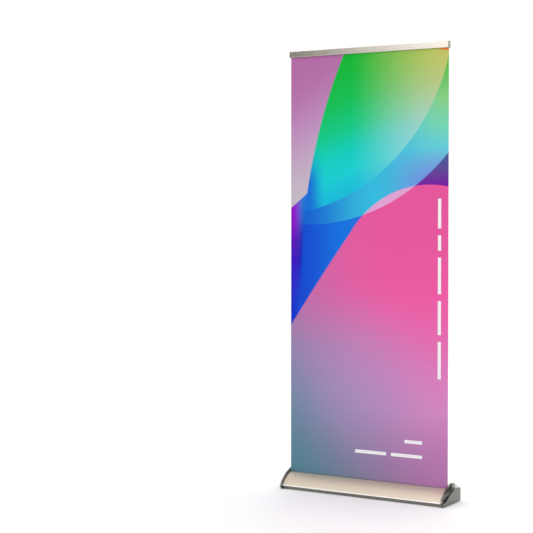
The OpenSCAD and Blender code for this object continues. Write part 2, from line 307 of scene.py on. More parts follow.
def linear(colour: str) -> tuple[float, float, float, float]:
    """Turns an sRGB hex colour such as "#c8beb0" to linear red, green, blue and alpha."""
    parts = [int(colour[i : i + 2], 16) / 255 for i in (1, 3, 5)]
    return (*(c / 12.92 if c <= 0.04045 else ((c + 0.055) / 1.055) ** 2.4 for c in parts), 1.0)


def add(
    tree: Any, kind: str, inputs: dict[Any, Any] | None = None, stops: Stops = (), **settings: Any
) -> Any:
    """Adds a node with its settings and links.

    Args:
        tree: The node tree.
        kind: The node's type without its "ShaderNode" prefix.
        inputs: For each socket's name or number, what feeds it: a node, whose first output in
            use is taken, an output socket, an sRGB hex colour or a plain value.
        stops: A colour ramp's stops.
        settings: The node's own properties.

    Returns:
        The new node.
    """
    node = tree.nodes.new(f"ShaderNode{kind}")
    for key, value in settings.items():
        setattr(node, key, value)
    for key, value in (inputs or {}).items():
        if isinstance(value, bpy.types.Node):
            value = next(socket for socket in value.outputs if socket.enabled)
        if isinstance(value, bpy.types.NodeSocket):
            tree.links.new(value, node.inputs[key])
        else:
            node.inputs[key].default_value = linear(value) if isinstance(value, str) else value
    if stops:
        marks = node.color_ramp.elements
        while len(marks) < len(stops):
            marks.new(0.5)
        for mark, (place, colour) in zip(marks, stops):
            mark.position = place
            mark.color = linear(colour)
    return node


def stretched_noise(tree: Any, per_metre: Point3, detail: float = 3) -> Any:
    """Adds noise whose size is set in the frame's metres.

    Args:
        tree: The node tree.
        per_metre: How many spots there are in a metre along each axis.
        detail: How many finer layers the noise has.

    Returns:
        The noise node.
    """
    place = add(tree, "TexCoord").outputs["Object"]
    scaled = add(tree, "VectorMath", {0: place, 1: per_metre}, operation="MULTIPLY")
    return add(tree, "TexNoise", {"Vector": scaled, "Scale": 1.0, "Detail": detail})


def edge_light(tree: Any, radius: float) -> Any:
    """Finds the edges of a piece.

    Args:
        tree: The node tree.
        radius: How far in from an edge still counts, in metres.

    Returns:
        A node that gives 0 on a flat and about 1 on an edge.
    """
    bevel = add(tree, "Bevel", {"Radius": radius}, samples=4)
    flat = add(tree, "NewGeometry").outputs["Normal"]
    turn = add(tree, "VectorMath", {0: bevel, 1: flat}, operation="DOT_PRODUCT")
    return add(tree, "MapRange", {"Value": turn, "From Min": 1.0, "From Max": 0.85})


@dataclass(frozen=True)
class Finish:
    """A finish that one material carries.

    Attributes:
        name: The material's name.
        slot: The record's material slot that it stands for, or nothing for the studio. It is not
            used.
    """

    name: str
    slot: str

    def surface(self, tree: Any) -> dict[str, Any]:
        """What feeds the shader's inputs, by their names."""
        raise NotImplementedError

    def material(self) -> Any:
        """Makes the Blender material, or finds it where it is made already.

        Returns:
            The material.
        """
        made = bpy.data.materials.get(self.name)
        if made:
            return made
        made = bpy.data.materials.new(self.name)
        made.use_nodes = True
        tree = made.node_tree
        tree.nodes.clear()
        add(tree, "OutputMaterial", {"Surface": add(tree, "BsdfPrincipled", self.surface(tree))})
        return made

    def dress(self, piece: Any) -> None:
        """Puts the finish on a new piece in place of any other."""
        piece.data.materials.clear()
        piece.data.materials.append(self.material())


@dataclass(frozen=True)
class AnodisedExtrusion(Finish):
    """Aluminium 6063 drawn through a die, satin etched and anodised.

    The die leaves faint lines along the length, which show as fine streaks in the sheen.

    Attributes:
        colour: The metal's colour under its clear or dyed layer.
        roughness: How far the etch spreads a highlight.
        metallic: Below 1 where blasting or a thick dyed layer scatters some of the light.
        line_mm: Distance between the lines as drawn.
    """

    colour: str
    roughness: float
    metallic: float = 1.0
    line_mm: float = 2.5

    def surface(self, tree: Any) -> dict[str, Any]:
        """A warm metal with lengthwise streaks in its colour and gloss."""
        # Real die lines are 0.1 to 0.3 mm apart. They are drawn 2.5 mm apart so that they show.
        across = 1 / (self.line_mm * MM)
        lines = stretched_noise(tree, (1.2, across, across))
        # The etch leaves a sparkle, drawn at two thirds of a millimetre.
        grain = stretched_noise(tree, (1500, 1500, 1500), detail=1)
        gloss = {
            "Value": lines, "From Min": 0.3, "From Max": 0.7,
            "To Min": self.roughness - 0.04, "To Max": self.roughness + 0.05,
        }
        height = add(tree, "Math", {0: lines, 1: grain}, operation="ADD")
        return {
            "Base Color": add(
                tree, "Mix", {0: lines, 6: self.shade(), 7: self.colour}, data_type="RGBA"
            ),
            "Metallic": self.metallic,
            "Roughness": add(tree, "MapRange", gloss),
            "Normal": add(tree, "Bump", {"Strength": 0.12, "Distance": 0.0001, "Height": height}),
        }

    def shade(self) -> str:
        """The colour, a little darker, for the streaks."""
        parts = [round(int(self.colour[i : i + 2], 16) * 0.965) for i in (1, 3, 5)]
        return "#" + "".join(f"{p:02x}" for p in parts)


@dataclass(frozen=True)
class ChromedPlastic(Finish):
    """ABS moulded, polished and plated with bright chromium: a grey mirror, soft at the moulding's
    slight waves.

    Attributes:
        colour: The mirror's grey.
        dull: The same where a wave is thinly plated.
    """

    colour: str = "#767671"
    dull: str = "#70706b"

    def surface(self, tree: Any) -> dict[str, Any]:
        """A near mirror with long, shallow waves, about 17 mm across, and a finer haze."""
        waves = stretched_noise(tree, (60, 60, 60), detail=1)
        gloss = {
            "Value": stretched_noise(tree, (260, 260, 260), detail=4),
            "From Min": 0.3, "From Max": 0.75, "To Min": 0.07, "To Max": 0.15,
        }
        return {
            "Base Color": add(
                tree, "ValToRGB", {"Fac": waves}, stops=[(0.3, self.dull), (0.7, self.colour)]
            ),
            "Metallic": 1.0,
            "Roughness": add(tree, "MapRange", gloss),
            "Normal": add(tree, "Bump", {"Strength": 0.03, "Distance": 0.0006, "Height": waves}),
        }


@dataclass(frozen=True)
class Metal(Finish):
    """A plain metal with a drawn or plated surface.

    Drawing or plating leaves streaks, which catch the light more than they change the colour.

    Attributes:
        colour: The metal's colour.
        roughness: How far the surface spreads a highlight, on the whole.
        per_metre: How many streaks there are in a metre along each axis. Real ones are a tenth
            of a millimetre, and these are drawn at a millimetre or more, to show.
    """

    colour: str
    roughness: float
    per_metre: Point3

    def surface(self, tree: Any) -> dict[str, Any]:
        """A metal of one colour, with streaks in its gloss."""
        streaks = stretched_noise(tree, self.per_metre)
        gloss = {
            "Value": streaks, "From Min": 0.3, "From Max": 0.7,
            "To Min": self.roughness * 0.8, "To Max": self.roughness * 1.2,
        }
        return {
            "Base Color": self.colour,
            "Metallic": 1.0,
            "Roughness": add(tree, "MapRange", gloss),
            "Normal": add(tree, "Bump", {"Strength": 0.1, "Distance": 0.0001, "Height": streaks}),
        }


@dataclass(frozen=True)
class MouldedPlastic(Finish):
    """A moulded plastic or rubber whose tool was spark eroded, so that it has a fine matt grain.

    Edges are handled and rubbed, so they are a little lighter than the flats.

    Attributes:
        colour: The plastic's colour on its flats.
        worn: Its colour on rubbed edges.
        roughness: How matt it is, on the whole.
        grain_mm: Size of the grain as drawn.
        ior: Refractive index, 1.5 for ABS, PVC, acetal and rubber alike.
    """

    colour: str
    worn: str
    roughness: float
    grain_mm: float = 0.9
    ior: float = 1.5

    def surface(self, tree: Any) -> dict[str, Any]:
        """A plastic with grain in its relief and paler edges."""
        # Spark grain is 0.2 mm or less. It is drawn about four times as coarse, to show.
        spots = 1 / (self.grain_mm * MM)
        grain = stretched_noise(tree, (spots, spots, spots), detail=2)
        patches = stretched_noise(tree, (25, 25, 25))
        rubbed = add(tree, "Math", {0: edge_light(tree, 0.0008), 1: patches}, operation="MULTIPLY")
        gloss = {
            "Value": patches, "From Min": 0.3, "From Max": 0.7,
            "To Min": self.roughness - 0.06, "To Max": self.roughness + 0.06,
        }
        return {
            "Base Color": add(
                tree, "ValToRGB", {"Fac": rubbed}, stops=[(0.0, self.colour), (0.8, self.worn)]
            ),
            "IOR": self.ior,
            "Roughness": add(tree, "MapRange", gloss),
            "Normal": add(tree, "Bump", {"Strength": 0.25, "Distance": 0.0002, "Height": grain}),
        }


@dataclass(frozen=True)
class PlainFilm(Finish):
    """Opaque polyester film, unprinted: the back of the sheet and its leader. A pale grey with a
    soft gloss.

    Attributes:
        colour: The film's grey.
        shade: The same where the mottle is darker.
    """

    colour: str = "#d4d5d4"
    shade: str = "#d1d2d1"

    def surface(self, tree: Any) -> dict[str, Any]:
        """A film with a slight mottle and a slight cockle."""
        mottle = stretched_noise(tree, (120, 120, 120))
        cockle = stretched_noise(tree, (9, 9, 5), detail=1)
        return {
            "Base Color": add(
                tree, "ValToRGB", {"Fac": mottle}, stops=[(0.3, self.shade), (0.7, self.colour)]
            ),
            "Roughness": 0.48,
            "Normal": add(tree, "Bump", {"Strength": 0.2, "Distance": 0.002, "Height": cockle}),
        }


@dataclass(frozen=True)
class MattPaint(Finish):
    """Matt white emulsion, as a studio's floor is painted: even, with hardly any gloss."""

    colour: str = "#f8f8f8"

    def surface(self, tree: Any) -> dict[str, Any]:
        """A plain matt white."""
        return {"Base Color": self.colour, "Roughness": 0.9, "Specular IOR Level": 0.1}


@dataclass(frozen=True)
class Disc:
    """A plain disc of the print.

    Attributes:
        across: Its centre's distance from the print's left edge.
        down: Its centre's distance from the print's top edge.
        radius: Its radius.
    """

    across: float
    down: float
    radius: float


@dataclass(frozen=True)
class PrintedFilm(Finish):
    """Polyester film printed with pigment ink: a plain abstract pattern of wide colour fields.

    The print is made of the borders of a few large discs with soft gradients between them, and
    rows of plain white bars where a printed sheet has its lines of words. The film is satin, so
    the ink keeps its full colour from every side.

    Attributes:
        width: The print's width.
        height: The height of print in view.
        foot: Height above the floor at which the print comes out of the slot.
        lobe: The disc inside the upper arc.
        veil: The disc inside the lower arc.
        meadow: The wide disc whose left border runs down from the top.
        dusk: The disc that ends the mauve corner.
        hill: The disc whose top is the lower field's crest.
        slope: The wide disc whose border is the lower field's long left side.
        slope_top: Where that side begins, down from the top.
        sun: The small disc in the top right corner.
        haze: Where the lower field is lilac.
        soft: Half the width of a border.
        bars_across: Where the upright line of bars stands, from the left edge.
        bars_start: Where it starts, down from the top.
        bars_gap: The gap between its bars.
        bar_half: Half the width of every bar.
        bar_lengths: The lengths of its bars.
        low_bars: The low bars, each as (across, down, half its length).
        white: The bars' colour.
    """

    width: float = 850
    height: float = 2060
    foot: float = 76
    lobe: Disc = Disc(-100, -200, 978)
    veil: Disc = Disc(99, -173, 999)
    meadow: Disc = Disc(2660, 1080, 2600)
    dusk: Disc = Disc(-700, -250, 1215)
    hill: Disc = Disc(750, 1130, 494)
    slope: Disc = Disc(9910, 8105, 12006)
    slope_top: float = 842.5
    sun: Disc = Disc(842, -118, 128)
    haze: Disc = Disc(370, 1600, 520)
    soft: float = 1.2
    bars_across: float = 805
    bars_start: float = 702
    bars_gap: float = 32
    bar_half: float = 8
    bar_lengths: tuple[float, ...] = (140, 72, 172, 160, 176)
    low_bars: tuple[Point3, ...] = ((672, 1858, 46), (445, 1926, 84), (636, 1926, 82))
    white: str = "#f4f2f4"

    def place(self, tree: Any) -> tuple[Any, Any]:
        """Where a point lies on the print, in millimetres right of and below its top left.

        The sheet winds up from its foot, so the print moves down with the rail. The map UV keeps
        the height at full draw, and Object gives the height now. Their ratio says how far the
        rail has come down.

        Args:
            tree: The node tree.

        Returns:
            The nodes across and down.
        """
        now = add(tree, "SeparateXYZ", {0: add(tree, "TexCoord").outputs["Object"]}).outputs
        full = add(tree, "SeparateXYZ", {0: add(tree, "UVMap", uv_map="drawn")}).outputs
        foot, span = Banner.foot * MM, (Banner.top - Banner.foot) * MM
        risen = add(tree, "Math", {0: now["Z"], 1: foot}, operation="SUBTRACT")
        drawn = add(tree, "Math", {0: full["Y"], 1: span}, operation="MULTIPLY")
        share = add(tree, "Math", {0: risen, 1: drawn}, operation="DIVIDE")
        wound = add(tree, "Math", {0: 1.0, 1: share}, operation="SUBTRACT")
        height = add(tree, "Math", {0: wound, 1: span, 2: now["Z"]}, operation="MULTIPLY_ADD")
        half = self.width / 2 * MM
        across = {"Value": now["X"], "From Min": -half, "From Max": half, "To Max": self.width}
        down = {
            "Value": height, "From Min": (self.foot + self.height) * MM,
            "From Max": self.foot * MM, "To Max": self.height,
        }
        return add(tree, "MapRange", across, clamp=False), add(tree, "MapRange", down, clamp=False)

    def inside(self, tree: Any, spot: Any, disc: Disc) -> Any:
        """Masks a disc, with a border as soft as ink on film.

        Args:
            tree: The node tree.
            spot: The place on the print.
            disc: The disc.

        Returns:
            A node that gives 1 inside the disc and 0 outside it.
        """
        centre = (disc.across, disc.down, 0)
        away = add(tree, "VectorMath", {0: spot, 1: centre}, operation="DISTANCE")
        edge = {
            "Value": away, "From Min": disc.radius + self.soft, "From Max": disc.radius - self.soft,
        }
        return add(tree, "MapRange", edge)

    def fade(self, tree: Any, source: Any, low: float, high: float, one: Any, two: Any) -> Any:
        """Fades one colour into another, eased at both ends.

        Args:
            tree: The node tree.
            source: What the fade follows.
            low: Where only the first colour shows.
            high: Where only the second colour shows.
            one: The first colour, as a node or in hex.
            two: The second colour, as a node or in hex.

        Returns:
            The node of the faded colour.
        """
        eased = add(
            tree, "MapRange", {"Value": source, "From Min": low, "From Max": high},
            interpolation_type="SMOOTHSTEP",
        )
        return add(tree, "Mix", {0: eased, 6: one, 7: two}, data_type="RGBA")

    def gradient(self, tree: Any, source: Any, low: float, high: float, stops: Stops) -> Any:
        """Runs through several colours, eased at both ends.

        Args:
            tree: The node tree.
            source: What the gradient follows.
            low: Where its first stop stands.
            high: Where its last stop stands.
            stops: Its stops.

        Returns:
            The node of its colour.
        """
        eased = add(
            tree, "MapRange", {"Value": source, "From Min": low, "From Max": high},
            interpolation_type="SMOOTHSTEP",
        )
        return add(tree, "ValToRGB", {"Fac": eased}, stops=stops)

    def fields(self, tree: Any, across: Any, down: Any) -> Any:
        """Lays the colour fields over each other from the back.

        Args:
            tree: The node tree.
            across: Millimetres from the left edge.
            down: Millimetres from the top edge.

        Returns:
            The node of the colour.
        """
        spot = add(tree, "CombineXYZ", {0: across, 1: down})
        veiled = self.inside(tree, spot, self.veil)
        left = add(
            tree, "Math", {0: 1.0, 1: self.inside(tree, spot, self.meadow)}, operation="SUBTRACT"
        )
        dusk = self.inside(tree, spot, self.dusk)
        low = add(tree, "Math", {0: down, 1: self.slope_top}, operation="GREATER_THAN")
        slope = self.inside(tree, spot, self.slope)
        below = add(tree, "Math", {0: slope, 1: low}, operation="MULTIPLY")
        hill = self.inside(tree, spot, self.hill)
        slant = add(tree, "Math", {0: across, 1: 0.5, 2: down}, operation="MULTIPLY_ADD")
        mauve = self.gradient(
            tree, slant, 100, 800,
            [(0.0, "#b36ca5"), (0.3, "#bd88ba"), (0.6, "#c1a0c2"), (1.0, "#c6bcc6")],
        )
        amber = self.gradient(tree, across, 780, 830, [(0.0, "#c8a060"), (1.0, "#f47a34")])
        rose = add(
            tree, "Mix", {0: veiled, 6: self.rose(tree, spot, across, down), 7: "#dfa3d4"},
            data_type="RGBA",
        )
        layers = (
            (veiled, self.shallows(tree, across, down)),
            (self.inside(tree, spot, self.lobe), self.leaves(tree, across, down)),
            (left, self.night(tree, across, down)),
            (add(tree, "Math", {0: left, 1: dusk}, operation="MULTIPLY"), mauve),
            (self.inside(tree, spot, self.sun), amber),
            (add(tree, "Math", {0: hill, 1: below}, operation="MAXIMUM"), rose),
        )
        picture = self.depths(tree, across, down)
        for mask, colour in layers:
            picture = add(tree, "Mix", {0: mask, 6: picture, 7: colour}, data_type="RGBA")
        return picture

    def depths(self, tree: Any, across: Any, down: Any) -> Any:
        """The colour under the lower arc: blue on the left and indigo on the right.

        Args:
            tree: The node tree.
            across: Millimetres from the left edge.
            down: Millimetres from the top edge.

        Returns:
            The node of the colour.
        """
        blue = self.gradient(tree, across, 40, 330, [(0.0, "#0447d0"), (1.0, "#0a72e0")])
        indigo = self.gradient(tree, down, 500, 660, [(0.0, "#4a5592"), (1.0, "#75129c")])
        return self.fade(tree, across, 300, 700, blue, indigo)

    def shallows(self, tree: Any, across: Any, down: Any) -> Any:
        """The colour between the two arcs: blue on the left, then cyan, green at the top right.

        Args:
            tree: The node tree.
            across: Millimetres from the left edge.
            down: Millimetres from the top edge.

        Returns:
            The node of the colour.
        """
        blue = self.gradient(tree, across, 60, 480, [(0.0, "#085fd0"), (1.0, "#30bbde")])
        green = self.gradient(
            tree, down, 0, 640,
            [(0.0, "#58b83c"), (0.3, "#86cf84"), (0.6, "#74d6b4"), (0.82, "#62cbd8"),
             (1.0, "#7d80e0")],
        )
        return self.fade(tree, across, 450, 850, blue, green)

    def leaves(self, tree: Any, across: Any, down: Any) -> Any:
        """The colour inside the upper arc: green to cyan, paler right, blue at the lower left.

        Args:
            tree: The node tree.
            across: Millimetres from the left edge.
            down: Millimetres from the top edge.

        Returns:
            The node of the colour.
        """
        slant = add(tree, "Math", {0: across, 1: 0.3, 2: down}, operation="MULTIPLY_ADD")
        green = self.gradient(
            tree, slant, 60, 860,
            [(0.0, "#06b42e"), (0.25, "#08be56"), (0.5, "#04c886"), (0.68, "#04cdba"),
             (0.86, "#10ced2"), (1.0, "#0cb6dc")],
        )
        blue = self.fade(tree, down, 430, 640, green, "#0c6ed6")
        pale = self.gradient(
            tree, down, 0, 760,
            [(0.0, "#c4c466"), (0.25, "#bacfa8"), (0.5, "#b0d6d6"), (0.75, "#a2dade"),
             (1.0, "#70d4e0")],
        )
        deep = self.fade(tree, across, 100, 200, blue, green)
        return self.fade(tree, across, 320, 900, deep, pale)

    def night(self, tree: Any, across: Any, down: Any) -> Any:
        """The colour of the narrow left edge: violet, then navy, then blue.

        Args:
            tree: The node tree.
            across: Millimetres from the left edge.
            down: Millimetres from the top edge.

        Returns:
            The node of the colour.
        """
        violet = self.gradient(
            tree, down, 720, 1300,
            [(0.0, "#9604cc"), (0.25, "#5a08b8"), (0.5, "#3a08c0"), (1.0, "#0430c8")],
        )
        navy = self.gradient(
            tree, down, 640, 1300,
            [(0.0, "#1a7ad8"), (0.3, "#0b2fb4"), (0.6, "#0620b6"), (1.0, "#0452dc")],
        )
        return self.fade(tree, across, 10, 75, violet, navy)

    def rose(self, tree: Any, spot: Any, across: Any, down: Any) -> Any:
        """Mixes the lower field: rose on the right, mauve, then teal at the lower left.

        Args:
            tree: The node tree.
            spot: The place on the print.
            across: Millimetres from the left edge.
            down: Millimetres from the top edge.

        Returns:
            The node of the colour.
        """
        slant = add(tree, "Math", {0: down, 1: -0.32, 2: across}, operation="MULTIPLY_ADD")
        teal = self.gradient(
            tree, down, 1000, 2060,
            [(0.0, "#b26eaa"), (0.35, "#8985ac"), (0.7, "#6a88a2"), (1.0, "#588497")],
        )
        pink = self.gradient(
            tree, down, 640, 2060,
            [(0.0, "#e6559c"), (0.3, "#ee5aa4"), (0.45, "#ea66ad"), (0.58, "#e271b4"),
             (0.72, "#dc7fbf"), (0.85, "#d388c2"), (1.0, "#b677ae")],
        )
        field_colour = self.fade(tree, slant, -636, 274, teal, pink)
        lilac = add(tree, "Mix", {0: 0.45, 6: field_colour, 7: "#a993c6"}, data_type="RGBA")
        centre = (self.haze.across, self.haze.down, 0)
        away = add(tree, "VectorMath", {0: spot, 1: centre}, operation="DISTANCE")
        return self.fade(tree, away, 0, self.haze.radius, lilac, field_colour)

    def bars(self, tree: Any, across: Any, down: Any) -> Any:
        """Masks the white bars: five in one upright line, as words would stand, and three low.

        Args:
            tree: The node tree.
            across: Millimetres from the left edge.
            down: Millimetres from the top edge.

        Returns:
            A node that gives 1 on the bars and 0 elsewhere.
        """
        boxes = [(x, y, half_length, self.bar_half) for x, y, half_length in self.low_bars]
        start = self.bars_start
        for length in self.bar_lengths:
            boxes.append((self.bars_across, start + length / 2, self.bar_half, length / 2))
            start += length + self.bars_gap
        mask: Any = 0.0
        for x, y, half_width, half_height in boxes:
            wide = add(tree, "Math", {0: across, 1: x, 2: half_width}, operation="COMPARE")
            tall = add(tree, "Math", {0: down, 1: y, 2: half_height}, operation="COMPARE")
            bar = add(tree, "Math", {0: wide, 1: tall}, operation="MULTIPLY")
            mask = add(tree, "Math", {0: mask, 1: bar}, operation="MAXIMUM")
        return mask

    def surface(self, tree: Any) -> dict[str, Any]:
        """The print under a satin film with a slight cockle."""
        across, down = self.place(tree)
        fields, bars = self.fields(tree, across, down), self.bars(tree, across, down)
        picture = add(tree, "Mix", {0: bars, 6: fields, 7: self.white}, data_type="RGBA")
        # Ink lies unevenly by a few parts in a hundred, in spots of about 5 mm.
        spots = stretched_noise(tree, (220, 220, 220))
        ink = add(tree, "ValToRGB", {"Fac": spots}, stops=[(0.3, "#ededed"), (0.7, "#f5f5f5")])
        cockle = stretched_noise(tree, (8, 8, 4), detail=1)
        return {
            "Base Color": add(
                tree, "Mix", {0: 1.0, 6: picture, 7: ink}, data_type="RGBA", blend_type="MULTIPLY"
            ),
            "Roughness": 0.55,
            "Specular IOR Level": 0.1,
            "Normal": add(tree, "Bump", {"Strength": 0.12, "Distance": 0.002, "Height": cockle}),
        }


# The rail is satin anodised. The covers are blasted first, which makes them paler and softer, and
# the bead along the front cover's lip is aluminium painted near white: a painted highlight.
CHAMPAGNE = AnodisedExtrusion(
    "anodised_champagne", "anodised_aluminium", colour="#cac4ba", roughness=0.17
)
BLASTED = AnodisedExtrusion(
    "blasted_champagne", "anodised_aluminium", colour="#cfc1af", roughness=0.44, metallic=0.68
)
# Painted highlight: the bead's near-white, half-metal colour stands in for the light along the lip.
BEAD_HIGHLIGHT_PAINT = AnodisedExtrusion(
    "bead_painted_highlight", "anodised_aluminium", colour="#f1ede6", roughness=0.3, metallic=0.45
)
DARK_TRAY = AnodisedExtrusion(
    "anodised_grey", "tray_aluminium", colour="#767670", roughness=0.42
)
CHROME = ChromedPlastic("chromed_abs", "chromed_plastic")
DRAWN_TUBE = Metal(
    "drawn_tube", "mill_aluminium", colour="#c9cbcd", roughness=0.26, per_metre=(900, 900, 3)
)
ROLLER_TUBE = Metal(
    "roller_tube_metal", "mill_aluminium", colour="#c3c5c6", roughness=0.34, per_metre=(3, 700, 700)
)
ZINC = Metal(
    "zinc_plate", "zinc_steel", colour="#a9adb0", roughness=0.36, per_metre=(180, 180, 180)
)
SPRING = Metal(
    "oiled_spring_steel", "spring_steel", colour="#55565a", roughness=0.3,
    per_metre=(400, 400, 400),
)
GREY = Metal(
    "metallised_abs", "grey_plastic", colour="#84847f", roughness=0.15, per_metre=(260, 260, 260)
)
BLACK = MouldedPlastic(
    "black_abs", "black_plastic", colour="#1b1b1c", worn="#3a3a3b", roughness=0.52
)
TRIM = MouldedPlastic(
    "grey_pvc_trim", "grey_pvc", colour="#6f6f6c", worn="#858581", roughness=0.5
)
ACETAL = MouldedPlastic(
    "white_acetal", "natural_acetal", colour="#dcdad2", worn="#e8e6df", roughness=0.38
)
RUBBER = MouldedPlastic(
    "black_rubber_pad", "black_rubber", colour="#161616", worn="#262626", roughness=0.8,
    grain_mm=1.4,
)
FILM = PlainFilm("plain_film", "leader_film")
PRINT = PrintedFilm("printed_film_sheet", "printed_film")
FLOOR_PAINT = MattPaint("studio_paint", "")


# ---------------------------------------------------------------------------------------------
# Sub-assemblies
# ---------------------------------------------------------------------------------------------


class Assembly:
    """A group of pieces that is built and dressed together."""

    def fit(self, piece: Any, body: Body, finish: Finish, *nodes: str) -> None:
        """Dresses a new piece, rides it on a body and lets it stand for its nodes.

        Args:
            piece: The new piece.
            body: The body that it moves with.
            finish: Its finish.
            nodes: The nodes of the frame that it stands for.
        """
        finish.dress(piece)
        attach(piece, body.value)
        if nodes:
            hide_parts(*nodes)
        LOG.info("made %s on %s", piece.name, body.value)

    def build(self) -> None:
        """Builds every piece of the group."""
        raise NotImplementedError


@dataclass
class BaseSection:
    """The base seen from its end, as (Y, Z) in millimetres.

    Attributes:
        radius: Radius of the front cover's curve.
        lip: The curve's lower end.
        edge: The curve's upper end, at the slot.
        wall: Thickness of the covers.
    """

    radius: float = 160
    lip: Point2 = (-91, 22)
    edge: Point2 = (-16, 76)
    wall: float = 2

    def centre(self) -> Point2:
        """Finds the centre of the front curve from its two ends and its radius.

        Returns:
            The centre as (Y, Z).
        """
        run, rise = self.edge[0] - self.lip[0], self.edge[1] - self.lip[1]
        chord = math.hypot(run, rise)
        reach = math.sqrt(self.radius**2 - (chord / 2) ** 2)
        middle = ((self.edge[0] + self.lip[0]) / 2, (self.edge[1] + self.lip[1]) / 2)
        return middle[0] + reach * rise / chord, middle[1] - reach * run / chord

    def angle(self, point: Point2) -> float:
        """The angle of a point about the curve's centre, in degrees."""
        y, z = self.centre()
        return math.degrees(math.atan2(point[1] - z, point[0] - y))

    def curve(self, grow: float, start: float, end: float, steps: int = 48) -> list[Point2]:
        """Points along the front curve, moved out by grow, between two angles."""
        return arc(self.centre(), self.radius + grow, start, end, steps)


@dataclass
class BaseShell(Assembly):
    """The base's covers and feet.

    Attributes:
        section: The end view that the covers follow.
        bead: Radius of the bead along the front cover's lip, which carries a painted highlight.
        bead_at: The bead's centre as (Y, Z).
        socket_hole: Radius of the hole that the pole's socket stands in.
        pad: Length and depth of a foot pad.
    """

    section: BaseSection = field(default_factory=BaseSection)
    bead: float = 3.1
    bead_at: Point2 = (-91.1, 18.7)
    socket_hole: float = 15.8
    pad: Point2 = (40, 12)

    def front_outline(self) -> list[Point2]:
        """Draws the front cover: the curve, a small groove, the rolled bead and a hook behind it.

        Returns:
            The closed outline as (Y, Z).
        """
        hem = self.section.angle(self.section.edge) + 1
        low = self.section.angle(self.section.lip) - 0.4
        outer = self.section.curve(0, hem, low)
        inner = self.section.curve(-self.section.wall, low - 1.4, hem)
        groove = [(outer[-1][0] + 0.75, outer[-1][1] - 0.55)]
        bead = arc(self.bead_at, self.bead, 112, 262, 18)
        hook = [(-86.5, 15.6), (-86.5, 17.0), (-83.0, 17.0), (-83.0, 19.4)]
        return [*outer, *groove, *bead, *hook, *inner]

    def rear_outline(self) -> list[Point2]:
        """Draws the rear cover: over the top and down the back, outside and then inside.

        Returns:
            The closed outline as (Y, Z).
        """
        outside = [
            (-9.0, 78, 0), (-7.9, 90.4, 9), (8, 97.6, 16), (34, 96.2, 26), (97.6, 68.6, 9),
            (100.8, 60, 8), (100.8, 4, 0),
        ]
        inside = [
            (98.8, 4, 0), (98.8, 59.6, 6), (96.2, 67.0, 7), (33.5, 94.1, 24), (8.4, 95.5, 14),
            (-5.9, 89.0, 7), (-7.0, 78, 0),
        ]
        return rounded([*outside, *inside], steps=10)

    def build(self) -> None:
        """Builds the covers and feet."""
        low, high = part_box("front_cover")
        x0, x1 = low[0] / MM, high[0] / MM
        front = mesh_object("cover_front", lambda g: add_run(g, self.front_outline(), x0, x1))
        self.fit(front, Body.BASE, BLASTED, "front_cover")
        self.paint_bead_highlight(front)
        rear = mesh_object("cover_rear", lambda g: add_run(g, self.rear_outline(), x0, x1))
        self.cut_socket_hole(rear)
        self.fit(rear, Body.BASE, BLASTED, "rear_cover")
        feet = mesh_object("floor_pads", self.add_pads, sharp=50)
        self.fit(feet, Body.BASE, RUBBER, "foot_pads")

    def paint_bead_highlight(self, cover: Any) -> None:
        """Gives the bead along the lip a painted highlight: a near-white finish of its own.

        Args:
            cover: The front cover.
        """
        # The bead's faces take the near-white finish, a painted highlight.
        cover.data.materials.append(BEAD_HIGHLIGHT_PAINT.material())
        for face in cover.data.polygons:
            y, z = face.center.y / MM - self.bead_at[0], face.center.z / MM - self.bead_at[1]
            if math.hypot(y, z) < self.bead + 0.2 and y < 1.5:
                face.material_index = 1

    def cut_socket_hole(self, cover: Any) -> None:
        """Cuts the pole socket's hole through the rear cover's top.

        Args:
            cover: The rear cover.
        """
        reach = self.socket_hole
        profile = [(0.001, 60), (reach, 60), (reach, 120), (0.001, 120)]
        cutter = mesh_object("hole_cutter", lambda g: add_lathe(g, profile, pole_axis(), 96))
        boolean = cover.modifiers.new("hole", "BOOLEAN")
        boolean.object = cutter
        boolean.operation = "DIFFERENCE"
        boolean.solver = "EXACT"
        apply_modifiers(cover)
        bpy.data.objects.remove(cutter)

    def add_pads(self, grid: bmesh.types.BMesh) -> None:
        """Adds the four rubber pads with three ribs each.

        Args:
            grid: The mesh that is added to.
        """
        low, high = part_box("foot_pads")
        length, depth = self.pad
        for x in (low[0] / MM, high[0] / MM - length):
            for y in (low[1] / MM, high[1] / MM - depth):
                add_block(grid, (x, y, 0.6), (x + length, y + depth, high[2] / MM), 0.8)
                for rib in range(3):
                    rib_y = y + 1.6 + 3.2 * rib
                    add_block(grid, (x + 2, rib_y, 0), (x + length - 2, rib_y + 2.2, 1.2), 0.4)


def pole_axis() -> Point2:
    """The pole's axis as (X, Y) in millimetres."""
    low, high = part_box("pole_lower_tube")
    return (low[0] + high[0]) / 2 / MM, (low[1] + high[1]) / 2 / MM


def apply_modifiers(piece: Any) -> None:
    """Writes a piece's modifiers into its mesh and smooths it again.

    Args:
        piece: The piece.
    """
    shown = piece.evaluated_get(bpy.context.evaluated_depsgraph_get())
    mesh = bpy.data.meshes.new_from_object(shown)
    old = piece.data
    piece.modifiers.clear()
    piece.data = mesh
    bpy.data.meshes.remove(old)
    mesh.polygons.foreach_set("use_smooth", [True] * len(mesh.polygons))
    mesh.set_sharp_from_angle(angle=math.radians(35))


